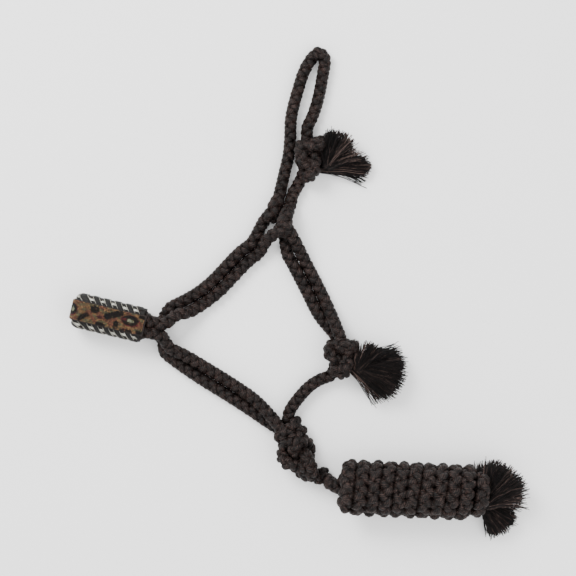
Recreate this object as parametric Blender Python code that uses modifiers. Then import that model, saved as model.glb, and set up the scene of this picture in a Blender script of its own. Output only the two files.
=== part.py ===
"""A braided rope halter with a beaded noseband and a wrapped lead rope, lying flat on its far side.

The noseband is folded in half at the nose, the near half on top. Two ropes run through it: the
forehead rope goes on as the two cheek ropes, the lip rope as the two chin ropes. Cheeks and
throat ropes meet in a splice on each side, the throat ropes end in the throat knot, and a single
fiador rope joins that to the chin knot, where the lead rope is hitched. The crown rope runs from
the far splice over the poll and is tied into the tie loop.

Metres, +Z up. The origin is under the middle of the halter, at the height that it lies on.
"""
import math

import bmesh
import bpy
from mathutils import Matrix, Vector

# ---- driving dimensions (metres and degrees) ----
CLEARANCE = 0.0003            # between pieces that touch
ROPE_DIAMETER = 0.0175        # braided halter rope
PAIR_SLIT = 0.0012            # between two ropes that lie side by side
TIE_GAP = 0.0010              # more than that, between the crown rope and the tie loop
LEAD_DIAMETER = 0.0185        # braided lead rope

NOSE_REAR = (-0.1365, -0.0925)  # rear end of the noseband, on its middle line
NOSE_TURN = 166.6             # from the rear end to the fold
NOSEBAND_LENGTH = 0.114       # of one half, the fold's round end included
NOSE_ROPE_SPACING = 0.0314    # between the forehead rope and the lip rope
HALVES_GAP = 0.0010           # between the two halves of the folded noseband
LACE_THICKNESS = 0.0010
LEATHER_THICKNESS = 0.0020
BEAD_THICKNESS = 0.0020
BEAD_MARGIN = 0.0025          # of leather showing beyond the beads, at the rear and on each edge
LACING_STOP = 0.0030          # from the lacing's end to the rear end of the ropes
ROLL_ROOM = 0.0020            # more between two ropes while one comes down beside the other
STRAIGHT_OUT = 0.0090         # that cheek and chin ropes run on from the nose ropes' ends

CHEEK_LENGTH = 0.238          # noseband to the splices
CHEEK_TURN = 37.5
THROAT_LENGTH = 0.218         # splices to the throat knot
THROAT_TURN = -64.7
CHIN_LENGTH = 0.284           # noseband to the chin knot
CHIN_TURN = -41.2
CROWN_HEIGHT = 0.225          # hinge line to the top of the crown's loop
CROWN_TURN = 78.0

SPLICE_LENGTH = 0.036
SPLICE_WIDTH = 0.0225
KNOT_HEIGHT = 0.0420          # of the throat knot and the tie knot
THROAT_KNOT_SIZE = (0.051, 0.066)
TIE_KNOT_SIZE = (0.045, 0.074)
CHIN_KNOT_SIZE = (0.053, 0.074)
CHIN_KNOT_HEIGHT = 0.044
HITCH_TURN = -38.0            # from the chin knot to the lead rope's hitch
CHIN_COLLAR_SIZE = (0.046, 0.030)
CHIN_COLLAR_HEIGHT = 0.040

HANK_LENGTH = 0.204
HANK_DIAMETER = 0.080
HANK_ROUNDING = 0.014
HANK_TURN = -2.5
HANK_START = (0.150, -0.3305)  # its near end, on its axis
TASSEL_FLATNESS = 0.62        # a tassel's height as a share of its width

STEP = 0.013                  # between the points of a rope
SIDES = 3                     # a curve's bevel resolution, which gives ten sides

# ---- worked out from them ----
ROPE_RADIUS = ROPE_DIAMETER / 2
LEAD_RADIUS = LEAD_DIAMETER / 2
PAIR_SPACING = ROPE_DIAMETER + PAIR_SLIT
LACED_RADIUS = ROPE_RADIUS + CLEARANCE + LACE_THICKNESS
BEAD_OUTSIDE = 0.0
LEATHER_OUTSIDE = BEAD_THICKNESS + CLEARANCE
ROPES_OUTSIDE = LEATHER_OUTSIDE + LEATHER_THICKNESS + CLEARANCE
FAR_LEVEL = ROPES_OUTSIDE + LACED_RADIUS
NEAR_LEVEL = FAR_LEVEL + 2 * LACED_RADIUS + HALVES_GAP
STACK_HEIGHT = FAR_LEVEL + NEAR_LEVEL
FOLD_LEVEL = STACK_HEIGHT / 2
UNDER_LEVEL = ROPE_RADIUS                                # a rope that lies on the floor
OVER_LEVEL = ROPE_DIAMETER + 2 * CLEARANCE + SPLICE_WIDTH / 2  # a splice that lies on a rope
HINGE_LEVEL = ROPE_DIAMETER + CLEARANCE


def along(turn):
    """The level unit vector at this angle from +X."""
    angle = math.radians(turn)
    return Vector((math.cos(angle), math.sin(angle), 0.0))


def left_of(direction):
    return Vector((-direction.y, direction.x, 0.0))


def flat(point, level=0.0):
    return Vector((point[0], point[1], level))


NOSE_AHEAD = along(NOSE_TURN)
NOSE_UP = -left_of(NOSE_AHEAD)                           # towards the forehead
NOSE_END = flat(NOSE_REAR)
FOREHEAD_END = NOSE_END + NOSE_UP * NOSE_ROPE_SPACING / 2
LIP_END = NOSE_END - NOSE_UP * NOSE_ROPE_SPACING / 2

SPLIT = NOSE_END + Vector((0.0175, -0.0050, 0.0))         # where cheeks and chin ropes part
JUNCTION = SPLIT + along(CHEEK_TURN) * CHEEK_LENGTH
FAR_SPLICE = JUNCTION + Vector((-0.0145, 0.0345, 0.0))
NEAR_SPLICE = JUNCTION + Vector((0.0005, 0.0120, 0.0))
THROAT_KNOT = JUNCTION + along(THROAT_TURN) * THROAT_LENGTH + Vector((-0.0090, 0.0090, 0.0))
CHIN_KNOT = SPLIT + along(CHIN_TURN) * CHIN_LENGTH + Vector((-0.0040, -0.0050, 0.0))
CHIN_KNOT_TURN = -60.0
CHIN_COLLAR = CHIN_KNOT - along(CHIN_KNOT_TURN) * (CHIN_KNOT_SIZE[1] / 2 + 0.0090)
FAR_SPLICE_TURN = 70.0
NEAR_SPLICE_TURN = 78.0
CROWN_HINGE = FAR_SPLICE + along(FAR_SPLICE_TURN) * (SPLICE_LENGTH / 2 + CLEARANCE)


# ---- helpers ----
def clear_scene():
    for old in list(bpy.data.objects):
        bpy.data.objects.remove(old, do_unlink=True)


def new_collection(name):
    made = bpy.data.collections.new(name)
    bpy.context.scene.collection.children.link(made)
    return made


def material(name, colour, roughness):
    made = bpy.data.materials.new(name)
    made.use_nodes = True
    shader = made.node_tree.nodes["Principled BSDF"]
    shader.inputs["Base Color"].default_value = (*colour, 1.0)
    shader.inputs["Roughness"].default_value = roughness
    shader.inputs["Metallic"].default_value = 0.0
    return made


def place(made, home=None):
    """Link an object to the part's collection, or to the one given."""
    (home or PARTS).objects.link(made)
    return made


def smooth_route(points, step=STEP):
    """Points about a step apart on a Catmull-Rom curve through the route's own points."""
    route = [Vector(p) for p in points]
    route = [2 * route[0] - route[1], *route, 2 * route[-1] - route[-2]]
    found = [route[1].copy()]
    for a, b, c, d in zip(route, route[1:], route[2:], route[3:]):
        count = max(1, round((c - b).length / step))
        for i in range(1, count + 1):
            t = i / count
            found.append(
                0.5 * (2 * b + (c - a) * t + (2 * a - 5 * b + 4 * c - d) * t * t
                       + (3 * b - a - 3 * c + d) * t ** 3)
            )
    return found


def tube(name, points, radius, capped=True, home=None):
    """A round curve object through these points."""
    curve = bpy.data.curves.new(name, "CURVE")
    curve.dimensions = "3D"
    curve.bevel_depth = radius
    curve.bevel_resolution = SIDES
    curve.use_fill_caps = capped
    spline = curve.splines.new("POLY")
    spline.points.add(len(points) - 1)
    for point, place_at in zip(spline.points, points):
        point.co = (*place_at, 1.0)
    return place(bpy.data.objects.new(name, curve), home)


def as_mesh(curve_object):
    """The same piece as a mesh object, with its caps welded on."""
    name = curve_object.name
    home = curve_object.users_collection[0]
    seen = curve_object.evaluated_get(bpy.context.evaluated_depsgraph_get())
    mesh = bpy.data.meshes.new_from_object(seen)
    work = bmesh.new()
    work.from_mesh(mesh)
    bmesh.ops.remove_doubles(work, verts=work.verts, dist=0.00001)
    work.to_mesh(mesh)
    work.free()
    where = curve_object.matrix_world.copy()
    bpy.data.objects.remove(curve_object, do_unlink=True)
    made = bpy.data.objects.new(name, mesh)
    made.matrix_world = where
    return place(made, home)


def ball(name, centre, size, turn=0.0, grow=0.0, home=None, rings=10):
    """A solid of the size of a knot: a ball stretched to (width, length, height)."""
    mesh = bpy.data.meshes.new(name)
    work = bmesh.new()
    bmesh.ops.create_uvsphere(work, u_segments=2 * rings, v_segments=rings, radius=0.5)
    grown = [side + 2 * grow for side in size]
    bmesh.ops.scale(work, vec=grown, verts=work.verts)
    bmesh.ops.rotate(work, matrix=Matrix.Rotation(math.radians(turn), 3, "Z"), verts=work.verts)
    work.to_mesh(mesh)
    work.free()
    mesh.shade_smooth()
    made = bpy.data.objects.new(name, mesh)
    made.location = centre
    return place(made, home)


def cut(piece, cutter):
    step = piece.modifiers.new(f"clear of {cutter.name}", "BOOLEAN")
    step.operation = "DIFFERENCE"
    step.solver = "EXACT"
    step.object = cutter


def cutter_ball(name, centre, size, turn=0.0):
    made = ball(f"{name}_space", centre, size, turn, grow=CLEARANCE, home=CUTTERS)
    made.hide_render = True
    made.display_type = "WIRE"
    return made


def trimmed_rope(name, points, radius, cutters, finish):
    """A rope whose ends stop against the pieces that they run into."""
    rope = as_mesh(tube(name, smooth_route(points), radius))
    for cutter in cutters:
        cut(rope, cutter)
    rope.data.shade_smooth()
    rope.data.materials.append(finish)
    return rope


def turned(name, profile, start, turn, flatness, finish, segments=16):
    """A profile of (distance along, radius) turned about a level axis from start, then flattened."""
    mesh = bpy.data.meshes.new(name)
    points = [(radius, 0.0, -distance) for distance, radius in profile]
    mesh.from_pydata(points, [(i, i + 1) for i in range(len(points) - 1)], [])
    made = place(bpy.data.objects.new(name, mesh))
    screw = made.modifiers.new("turn", "SCREW")
    screw.steps = segments
    screw.render_steps = segments
    screw.use_merge_vertices = True
    screw.merge_threshold = 0.00001
    lay = Matrix.Rotation(math.radians(-90), 4, "Y")
    level = Matrix.Diagonal((1.0, 1.0, flatness, 1.0))
    made.matrix_world = (
        Matrix.Translation(start) @ Matrix.Rotation(math.radians(turn), 4, "Z") @ level @ lay
    )
    made.data.materials.append(finish)
    return made


def tassel_profile(length, root, tip):
    """A bunch of frayed ends: a round root of one radius that flares to a round tip of another."""
    points = []
    for i in range(5):
        angle = math.radians(22.5 * i)
        points.append((root * (1 - math.cos(angle)), root * math.sin(angle)))
    for i in range(1, 3):
        share = i / 3
        points.append((root + (length - root) * share * 0.8, root + (tip - root) * share ** 0.7))
    rounding = length * 0.28
    for i in range(5):
        angle = math.radians(22.5 * i)
        points.append((length - rounding + rounding * math.sin(angle), tip * math.cos(angle)))
    points[0] = (0.0, 0.0)
    points[-1] = (length, 0.0)
    return points


def barrel_profile(length, radius, rounding):
    """A cylinder with rounded rims."""
    near = [(rounding * (1 - math.cos(math.radians(a))),
             radius - rounding * (1 - math.sin(math.radians(a)))) for a in (0, 30, 60, 90)]
    far = [(length - along_it, out) for along_it, out in reversed(near)]
    return [(0.0, 0.0), *near, *far, (length, 0.0)]


def ease(t, start, end):
    """0 before start, 1 after end, smooth between."""
    u = min(1.0, max(0.0, (t - start) / (end - start)))
    return u * u * (3 - 2 * u)


def rope_pair(middle, spacing_from, level_from, settle, near_side):
    """The near and far routes of two ropes that leave the noseband one above the other.

    They roll until they lie side by side on the floor, with settle the share of the route that
    this takes. near_side is +1 where the near rope ends up on the left of the route.
    """
    middle = smooth_route([flat(p) for p in middle])
    near, far = [], []
    for i, point in enumerate(middle):
        t = i / (len(middle) - 1)
        before, after = middle[max(0, i - 1)], middle[min(len(middle) - 1, i + 1)]
        side = left_of((after - before).normalized()) * near_side
        settled = ease(t, 1 / (len(middle) - 1), settle)
        roll = math.radians(90 * (1 - settled))
        spacing = spacing_from + (PAIR_SPACING - spacing_from) * settled
        spacing += ROLL_ROOM * math.sin(2 * roll)
        low = level_from + (UNDER_LEVEL - level_from) * settled
        spread = side * math.cos(roll) * spacing / 2
        rise = Vector((0.0, 0.0, math.sin(roll) * spacing))
        far.append(point - spread + Vector((0.0, 0.0, low)))
        near.append(point + spread + Vector((0.0, 0.0, low)) + rise)
    return near, far


def hang_on(pivot, *pieces):
    """Parent these pieces to an empty on their joint's axis, and leave them where they are."""
    bpy.context.view_layer.update()
    for piece in pieces:
        piece.parent = pivot
        piece.matrix_parent_inverse = pivot.matrix_world.inverted()


def joint_axis(name, point):
    pivot = bpy.data.objects.new(name, None)
    pivot.empty_display_size = 0.02
    pivot.location = point
    return place(pivot)


# ---- the noseband ----
def nose_path(end, length, radius, arc_points=8):
    """From the far rear end round the fold to the near rear end; radius is the fold's."""
    straight = length - STACK_HEIGHT / 2
    fold = end + NOSE_AHEAD * straight
    points = [end + Vector((0.0, 0.0, FOLD_LEVEL - radius))]
    for i in range(arc_points + 1):
        angle = math.pi * (i / arc_points - 0.5)
        points.append(
            fold + NOSE_AHEAD * math.cos(angle) * radius
            + Vector((0.0, 0.0, FOLD_LEVEL + math.sin(angle) * radius))
        )
    points.append(end + Vector((0.0, 0.0, FOLD_LEVEL + radius)))
    return points


def nose_rope(name, end, finish):
    rope = tube(name, nose_path(end, NOSEBAND_LENGTH, NEAR_LEVEL - FOLD_LEVEL), ROPE_RADIUS)
    rope.data.materials.append(finish)


def lacing(name, end, finish):
    """The lace wrapped round one nose rope, as the sleeve that its turns fill."""
    start = end + NOSE_AHEAD * LACING_STOP
    path = nose_path(start, NOSEBAND_LENGTH - LACING_STOP, NEAR_LEVEL - FOLD_LEVEL)
    sleeve = tube(name, path, LACED_RADIUS, capped=False)
    wall = sleeve.modifiers.new("lace", "SOLIDIFY")
    wall.thickness = LACE_THICKNESS
    wall.offset = -1.0
    wall.use_even_offset = True
    sleeve.data.materials.append(finish)


def folded_strip(name, outside, thickness, width, rear_margin, finish):
    """A strip folded round the noseband's stack: its outline seen from the side, extruded."""
    outer = STACK_HEIGHT / 2 - outside
    inner = outer - thickness
    straight = NOSEBAND_LENGTH - STACK_HEIGHT / 2
    count = 14
    angles = [math.pi * (i / count - 0.5) for i in range(count + 1)]
    outline = [(rear_margin, -outer)]
    outline += [(straight + outer * math.cos(a), outer * math.sin(a)) for a in angles]
    outline += [(rear_margin, outer), (rear_margin, inner)]
    outline += [(straight + inner * math.cos(a), inner * math.sin(a)) for a in reversed(angles)]
    outline += [(rear_margin, -inner)]
    curve = bpy.data.curves.new(name, "CURVE")
    curve.dimensions = "2D"
    curve.fill_mode = "BOTH"
    curve.extrude = width / 2
    spline = curve.splines.new("POLY")
    spline.points.add(len(outline) - 1)
    for point, (forward, up) in zip(spline.points, outline):
        point.co = (forward, up, 0.0, 1.0)
    spline.use_cyclic_u = True
    strip = place(bpy.data.objects.new(name, curve))
    axes = Matrix((NOSE_AHEAD, Vector((0.0, 0.0, 1.0)), NOSE_AHEAD.cross(Vector((0.0, 0.0, 1.0)))))
    strip.matrix_world = Matrix.Translation(flat(NOSE_REAR, FOLD_LEVEL)) @ axes.transposed().to_4x4()
    strip.data.materials.append(finish)


def noseband():
    nose_rope("nose_rope_forehead", FOREHEAD_END, ROPE)
    nose_rope("nose_rope_lip", LIP_END, ROPE)
    lacing("forehead_lacing", FOREHEAD_END, LACE)
    lacing("lip_lacing", LIP_END, LACE)
    folded_strip("noseband_leather", LEATHER_OUTSIDE, LEATHER_THICKNESS, NOSE_ROPE_SPACING,
                 0.0, LEATHER)
    folded_strip("bead_panel", BEAD_OUTSIDE, BEAD_THICKNESS, NOSE_ROPE_SPACING - 2 * BEAD_MARGIN,
                 BEAD_MARGIN, BEADS)


# ---- splices and knots ----
def splice(name, centre, turn, level):
    size = (SPLICE_WIDTH, SPLICE_LENGTH, SPLICE_WIDTH)
    where = centre + Vector((0.0, 0.0, level))
    made = ball(name, where, size, turn)
    made.data.materials.append(ROPE)
    return cutter_ball(name, where, size, turn)


def knot_reach(size, turn, towards):
    """How far an oval knot of this size, turned this way, reaches from its centre at an angle."""
    angle = math.radians(towards - turn)
    return 0.5 / math.hypot(math.cos(angle) / size[0], math.sin(angle) / size[1])


def knot(name, centre, size, height, turn, finish):
    where = centre + Vector((0.0, 0.0, height / 2))
    made = ball(name, where, (*size, height), turn)
    made.data.materials.append(finish)
    return made, cutter_ball(name, where, (*size, height), turn)


# ---- the ropes between them ----
def cheeks(far_space, near_space):
    start = FOREHEAD_END - NOSE_AHEAD * CLEARANCE
    reach = JUNCTION - start
    ahead, side = reach.normalized(), left_of(reach.normalized())
    bow = [(0.12, -0.0090), (0.22, -0.0175), (0.34, -0.0185), (0.46, -0.0150),
           (0.58, -0.0075), (0.70, 0.0), (0.80, 0.0025)]
    middle = [start, start - NOSE_AHEAD * STRAIGHT_OUT]
    middle += [start + ahead * reach.length * t + side * out for t, out in bow]
    near, far = rope_pair(middle, NEAR_LEVEL - FAR_LEVEL, FAR_LEVEL, 0.42, -1)
    far += [FAR_SPLICE + Vector((-0.0150, -0.0165, UNDER_LEVEL)),
            FAR_SPLICE + Vector((0.0, 0.0, UNDER_LEVEL))]
    near += [NEAR_SPLICE + Vector((-0.0260, -0.0230, (UNDER_LEVEL + OVER_LEVEL) / 2)),
             NEAR_SPLICE + Vector((-0.0100, -0.0120, OVER_LEVEL)),
             NEAR_SPLICE + Vector((0.0, 0.0, OVER_LEVEL))]
    trimmed_rope("far_cheek_rope", far, ROPE_RADIUS, [far_space], ROPE)
    trimmed_rope("near_cheek_rope", near, ROPE_RADIUS, [near_space], ROPE)


def chin_ropes(collar_space):
    """The near chin rope comes down beside the far one, and lies on it again at the knot."""
    start = LIP_END - NOSE_AHEAD * CLEARANCE
    reach = CHIN_COLLAR - start
    ahead, side = reach.normalized(), left_of(reach.normalized())
    # share of the way, sideways bow, sideways shift of the near rope from the far one
    bow = [(0.10, 0.0010, 0.0050), (0.25, 0.0032, 0.0155), (0.42, 0.0045, 0.0184),
           (0.60, 0.0065, 0.0184), (0.76, 0.0070, 0.0170), (0.90, 0.0035, 0.0100), (1.0, 0.0, 0.0)]
    leaving = [start, start - NOSE_AHEAD * STRAIGHT_OUT]
    far = [point + Vector((0.0, 0.0, FAR_LEVEL)) for point in leaving]
    near = [point + Vector((0.0, 0.0, NEAR_LEVEL)) for point in leaving]
    for t, out, shift in bow:
        point = start + ahead * reach.length * t + side * out
        settled = ease(t, 0.0, 0.30)
        low = FAR_LEVEL + (UNDER_LEVEL - FAR_LEVEL) * settled
        spacing = (NEAR_LEVEL - FAR_LEVEL) * (1 - settled) + PAIR_SPACING * settled
        spacing += ROLL_ROOM * math.sin(math.pi * settled)
        rise = math.sqrt(max(0.0, spacing ** 2 - shift ** 2))
        far.append(point - side * shift / 2 + Vector((0.0, 0.0, low)))
        near.append(point + side * shift / 2 + Vector((0.0, 0.0, low + rise)))
    trimmed_rope("far_chin_rope", far, ROPE_RADIUS, [collar_space], ROPE)
    trimmed_rope("near_chin_rope", near, ROPE_RADIUS, [collar_space], ROPE)


def throat_ropes(far_space, near_space, knot_space):
    start = JUNCTION + along(THROAT_TURN) * 0.030
    reach = THROAT_KNOT - start
    ahead, side = reach.normalized(), left_of(reach.normalized())
    bow = [(0.0, 0.0), (0.2, 0.0020), (0.4, 0.0040), (0.6, 0.0045), (0.8, 0.0035), (1.0, 0.0)]
    middle = [start + ahead * reach.length * t + side * out for t, out in bow]
    middle = smooth_route([flat(p) for p in middle])
    on_floor = Vector((0.0, 0.0, UNDER_LEVEL))
    far = [FAR_SPLICE + on_floor, FAR_SPLICE + Vector((0.0115, -0.0190, UNDER_LEVEL))]
    near = [NEAR_SPLICE + Vector((0.0, 0.0, OVER_LEVEL)),
            NEAR_SPLICE + Vector((0.0110, -0.0160, OVER_LEVEL - 0.0020))]
    for i, point in enumerate(middle):
        rolled = math.radians(65 * ease(i / (len(middle) - 1), 0.50, 0.95))
        apart = PAIR_SPACING * math.cos(rolled)
        far.append(point + side * (PAIR_SPACING / 2 - apart) + on_floor)
        if i > 1:
            rise = Vector((0.0, 0.0, (PAIR_SPACING + ROLL_ROOM / 2) * math.sin(rolled)))
            near.append(point + side * PAIR_SPACING / 2 + on_floor + rise)
    trimmed_rope("far_throat_rope", far, ROPE_RADIUS, [far_space, knot_space], ROPE)
    trimmed_rope("near_throat_rope", near, ROPE_RADIUS, [near_space, knot_space], ROPE)


def fiador(throat_space, collar_space):
    start, end = THROAT_KNOT, CHIN_COLLAR
    on_floor = Vector((0.0, 0.0, ROPE_RADIUS * 1.4))
    points = [start, start + Vector((-0.0120, -0.0240, 0.0)), start + Vector((-0.0305, -0.0320, 0.0))]
    points += [start + Vector((-0.0465, -0.0425, 0.0)), start + Vector((-0.0610, -0.0580, 0.0))]
    points += [end + Vector((0.0105, 0.0300, 0.0)), end + Vector((0.0080, 0.0135, 0.0)),
               end + Vector((0.0070, 0.0, 0.0))]
    trimmed_rope("fiador_rope", [p + on_floor for p in points], ROPE_RADIUS,
                 [throat_space, collar_space], ROPE)


def crown(near_space, tie_knot_centre, tie_space):
    """The crown rope and the tie loop, on the hinge line where the crown folds down."""
    up = along(CROWN_TURN)
    across = left_of(up)
    on_floor = Vector((0.0, 0.0, UNDER_LEVEL))
    # share of the crown's height, sideways place
    rising = [(0.0, 0.0), (0.055, -0.0005), (0.18, -0.0011), (0.29, -0.0015), (0.41, 0.0017),
              (0.525, 0.0063), (0.635, 0.0064), (0.73, 0.0049), (0.835, 0.0027), (0.92, -0.0023),
              (1.0, -0.0129)]
    falling = [(0.964, -0.0249), (0.863, -0.0266), (0.76, -0.0274), (0.665, -0.0269),
               (0.57, -0.0244), (0.475, -0.0206)]
    points = [CROWN_HINGE + up * CROWN_HEIGHT * t + across * out for t, out in rising + falling]
    points += [tie_knot_centre]
    rope = trimmed_rope("crown_rope", [p + on_floor for p in points], ROPE_RADIUS, [tie_space], ROPE)

    beside_splice = ROPE_RADIUS + SPLICE_WIDTH / 2 - CLEARANCE
    tie_start = CROWN_HINGE - across * max(PAIR_SPACING + TIE_GAP, beside_splice)
    loop = [tie_start, tie_start + up * 0.0100,
            tie_start + up * 0.0240 - across * 0.0050, tie_knot_centre]
    tie = trimmed_rope("tie_loop", [p + on_floor for p in loop], ROPE_RADIUS, [tie_space], ROPE)

    below = tie_start - up * CLEARANCE
    stub = [NEAR_SPLICE + Vector((0.0, 0.0, OVER_LEVEL)),
            NEAR_SPLICE + Vector((0.0030, 0.0150, OVER_LEVEL - 0.0040)),
            below - up * 0.0120 + on_floor, below + on_floor]
    trimmed_rope("near_crown_rope", stub, ROPE_RADIUS, [near_space], ROPE)
    return rope, tie


def halter():
    noseband()
    far_space = splice("far_splice", FAR_SPLICE, FAR_SPLICE_TURN - 90, SPLICE_WIDTH / 2)
    near_space = splice("near_splice", NEAR_SPLICE, NEAR_SPLICE_TURN - 90, OVER_LEVEL)
    _, throat_space = knot("throat_knot", THROAT_KNOT, THROAT_KNOT_SIZE, KNOT_HEIGHT, 0.0, ROPE)
    _, chin_space = knot("chin_knot", CHIN_KNOT, CHIN_KNOT_SIZE, CHIN_KNOT_HEIGHT,
                         CHIN_KNOT_TURN + 90, ROPE)
    collar, collar_space = knot("chin_knot_collar", CHIN_COLLAR, CHIN_COLLAR_SIZE,
                                CHIN_COLLAR_HEIGHT, CHIN_KNOT_TURN + 90, ROPE)
    cut(collar, chin_space)
    cheeks(far_space, near_space)
    chin_ropes(collar_space)
    throat_ropes(far_space, near_space, throat_space)
    fiador(throat_space, collar_space)

    tie_knot_centre = CROWN_HINGE + Vector((0.0474, 0.0599, 0.0))
    tie_knot, tie_space = knot("tie_knot", tie_knot_centre, TIE_KNOT_SIZE, KNOT_HEIGHT, -8.0, ROPE)
    crown_rope, tie_loop = crown(near_space, tie_knot_centre, tie_space)
    hinge = joint_axis("crown_hinge", CROWN_HINGE + Vector((0.0, 0.0, HINGE_LEVEL)))
    hang_on(hinge, crown_rope, tie_loop, tie_knot)
    return tie_knot_centre


# ---- tassels of frayed rope ends ----
def tassel(name, root_point, turn, length, root, tip, level):
    """A bunch whose round root is centred on root_point, so that it can swing there."""
    start = root_point - along(turn) * root + Vector((0.0, 0.0, level))
    return turned(name, tassel_profile(length, root, tip), start, turn, TASSEL_FLATNESS, FRAY)


def halter_tassels(tie_knot_centre):
    root = 0.0105
    throat_root = THROAT_KNOT + Vector((THROAT_KNOT_SIZE[0] / 2 + CLEARANCE * 2 + root, -0.0060, 0.0))
    throat = tassel("throat_tassel", throat_root, -8.0, 0.0700, root, 0.0380, 0.0240)
    hang_on(joint_axis("throat_tassel_axis", throat_root), throat)

    crown_root = tie_knot_centre + Vector((TIE_KNOT_SIZE[0] / 2 + CLEARANCE * 4 + root, -0.0080, 0.0))
    upper = tassel("crown_tassel_upper", crown_root, 34.0, 0.0600, root, 0.0230, 0.0295)
    lower = tassel("crown_tassel_lower", crown_root, -12.0, 0.0780, root * 0.9, 0.0130, 0.0085)
    hang_on(joint_axis("crown_tassel_axis", crown_root), upper, lower)


# ---- the lead rope ----
def lead():
    hank_ahead = along(HANK_TURN)
    hank_level = HANK_DIAMETER / 2
    hank_start = flat(HANK_START, hank_level)
    hank = turned("lead_hank", barrel_profile(HANK_LENGTH, HANK_DIAMETER / 2, HANK_ROUNDING),
                  hank_start, HANK_TURN, 1.0, LEAD_ROPE, segments=24)

    leaving = along(HITCH_TURN)
    reach = knot_reach(CHIN_KNOT_SIZE, CHIN_KNOT_TURN + 90, HITCH_TURN)
    hitch_centre = CHIN_KNOT + leaving * (reach + LEAD_RADIUS + CLEARANCE)
    hitch_centre.z = LEAD_RADIUS
    hitch_size = (LEAD_DIAMETER, LEAD_DIAMETER, LEAD_DIAMETER)
    hitch = ball("lead_hitch", hitch_centre, hitch_size)
    hitch.data.materials.append(LEAD_ROPE)
    hitch_space = cutter_ball("lead_hitch", hitch_centre, hitch_size)

    neck_end = flat(HANK_START, hank_level - 0.0080) - hank_ahead * CLEARANCE * 2
    neck = [hitch_centre + Vector((0.0030, -0.0020, 0.0)),
            hitch_centre + Vector((0.0150, -0.0090, 0.0005)),
            neck_end + Vector((-0.0140, 0.0050, -0.0130)), neck_end - hank_ahead * 0.0060, neck_end]
    neck = trimmed_rope("lead_neck", neck, LEAD_RADIUS, [hitch_space], LEAD_ROPE)

    end_length = 0.0200
    end_centre = hank_start + hank_ahead * (HANK_LENGTH + CLEARANCE + end_length / 2)
    end = ball("lead_end", end_centre, (end_length, 0.0620, 0.0560), HANK_TURN)
    end.data.materials.append(LEAD_ROPE)

    root = 0.0110
    face = flat(end_centre + hank_ahead * (end_length / 2 + CLEARANCE * 2 + root))
    upper_root = face + Vector((-0.0010, 0.0140, 0.0))
    lower_root = face + Vector((-0.0030, -0.0200, 0.0))
    upper = tassel("lead_tassel_upper", upper_root, 34.0, 0.0470, root, 0.0290, 0.0460)
    lower = tassel("lead_tassel_lower", lower_root, -56.0, 0.0520, root, 0.0190, 0.0150)

    hang_on(joint_axis("lead_swing_axis", hitch_centre), hitch)
    hang_on(joint_axis("lead_lift_axis", hitch_centre), neck, hank, end)
    hang_on(joint_axis("lead_tassel_upper_axis", upper_root), upper)
    hang_on(joint_axis("lead_tassel_lower_axis", lower_root), lower)


clear_scene()
PARTS = new_collection("rope_halter")
CUTTERS = new_collection("cutters")
ROPE = material("dark_brown_nylon_rope", (0.021, 0.015, 0.014), 0.62)
LEAD_ROPE = material("dark_brown_lead_rope", (0.024, 0.017, 0.016), 0.62)
FRAY = material("frayed_nylon_fibre", (0.026, 0.018, 0.017), 0.7)
LACE = material("charcoal_and_silver_lace", (0.19, 0.18, 0.18), 0.45)
LEATHER = material("black_leather_backing", (0.025, 0.020, 0.018), 0.55)
BEADS = material("leopard_seed_beads", (0.43, 0.26, 0.07), 0.3)
halter_tassels(halter())
lead()
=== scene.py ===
"""The looks of a braided rope halter with a beaded noseband and a wrapped lead rope.

Every rope is a four-strand round braid, swept strand by strand. The noseband's beads are set one
by one, its lacing is wound turn by turn, and each frayed end is a bunch of separate yarns.
"""
import math

import bmesh
import bpy
import numpy as np
from mathutils import Matrix, Vector


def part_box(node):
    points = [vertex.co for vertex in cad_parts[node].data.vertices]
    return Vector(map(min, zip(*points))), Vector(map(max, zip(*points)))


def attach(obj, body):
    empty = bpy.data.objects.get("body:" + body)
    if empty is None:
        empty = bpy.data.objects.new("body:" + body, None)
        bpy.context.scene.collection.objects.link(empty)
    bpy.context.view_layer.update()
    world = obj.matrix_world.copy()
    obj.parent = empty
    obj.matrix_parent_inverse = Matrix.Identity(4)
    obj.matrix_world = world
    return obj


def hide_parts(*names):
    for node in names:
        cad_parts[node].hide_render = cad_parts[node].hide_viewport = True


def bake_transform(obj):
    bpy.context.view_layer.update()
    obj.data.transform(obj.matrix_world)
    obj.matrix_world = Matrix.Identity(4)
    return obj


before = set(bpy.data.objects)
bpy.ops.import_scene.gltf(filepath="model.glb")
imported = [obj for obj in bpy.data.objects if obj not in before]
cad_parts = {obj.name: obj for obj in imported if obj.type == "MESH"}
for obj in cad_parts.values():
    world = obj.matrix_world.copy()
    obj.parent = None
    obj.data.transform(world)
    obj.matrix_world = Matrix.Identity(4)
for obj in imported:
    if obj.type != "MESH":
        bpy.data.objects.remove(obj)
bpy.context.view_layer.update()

MM = 0.001

# ---- the halter's own sizes, the same as the solids' (metres and degrees) ----
CLEARANCE = 0.0003
ROPE_RADIUS = 0.00875
PAIR_SPACING = 0.0187
LEAD_RADIUS = 0.00925
NOSE_REAR = np.array((-0.1365, -0.0925, 0.0))
NOSE_TURN = 166.6
NOSEBAND_LENGTH = 0.114
NOSE_ROPE_SPACING = 0.0314
LACED_RADIUS = 0.01005
STACK_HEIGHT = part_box("bead_panel")[1][2]
FOLD_LEVEL = STACK_HEIGHT / 2
FAR_LEVEL = 0.01465
NEAR_LEVEL = 0.03575
OVER_LEVEL = 0.02935
SPLICE_RADIUS = 0.01125
SPLICE_LENGTH = 0.036
CHEEK_LENGTH, CHEEK_TURN = 0.238, 37.5
THROAT_LENGTH, THROAT_TURN = 0.218, -64.7
CHIN_LENGTH, CHIN_TURN = 0.284, -41.2
CROWN_HEIGHT = 0.225
UP = np.array((0.0, 0.0, 1.0))


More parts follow.
